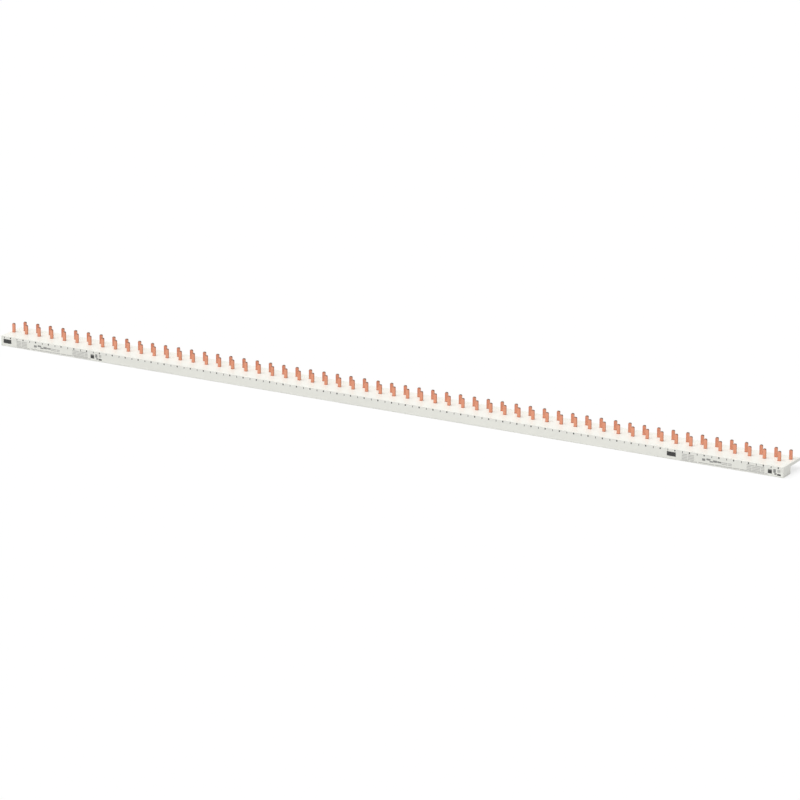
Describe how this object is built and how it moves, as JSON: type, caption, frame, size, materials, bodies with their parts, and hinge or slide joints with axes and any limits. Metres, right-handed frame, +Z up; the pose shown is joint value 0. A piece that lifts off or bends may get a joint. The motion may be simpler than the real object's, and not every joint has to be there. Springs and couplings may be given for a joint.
{
  "type": "comb busbar",
  "caption": "Long insulated comb busbar with a deep box in front, a thin flange behind and two rows of flat copper pins standing up through a slotted cover.",
  "frame": {"origin": "middle of the bar's footprint, on the underside of the deep box", "axes": "+X along the bar, +Y from the printed long side towards the thin flange, +Z up the pins"},
  "size_m": [1.0048, 0.0416, 0.0226],
  "materials": {
    "insulation": "satin",
    "cap_insulation": "satin",
    "separator": "satin",
    "copper": "satin"
  },
  "bodies": {
    "root": {"insulating_profile": "insulation", "slotted_cover": "insulation", "front_comb": "copper", "rear_comb": "copper", "separator_strip": "separator", "left_end_cap": "cap_insulation", "right_end_cap": "cap_insulation"}
  },
  "joints": []
}
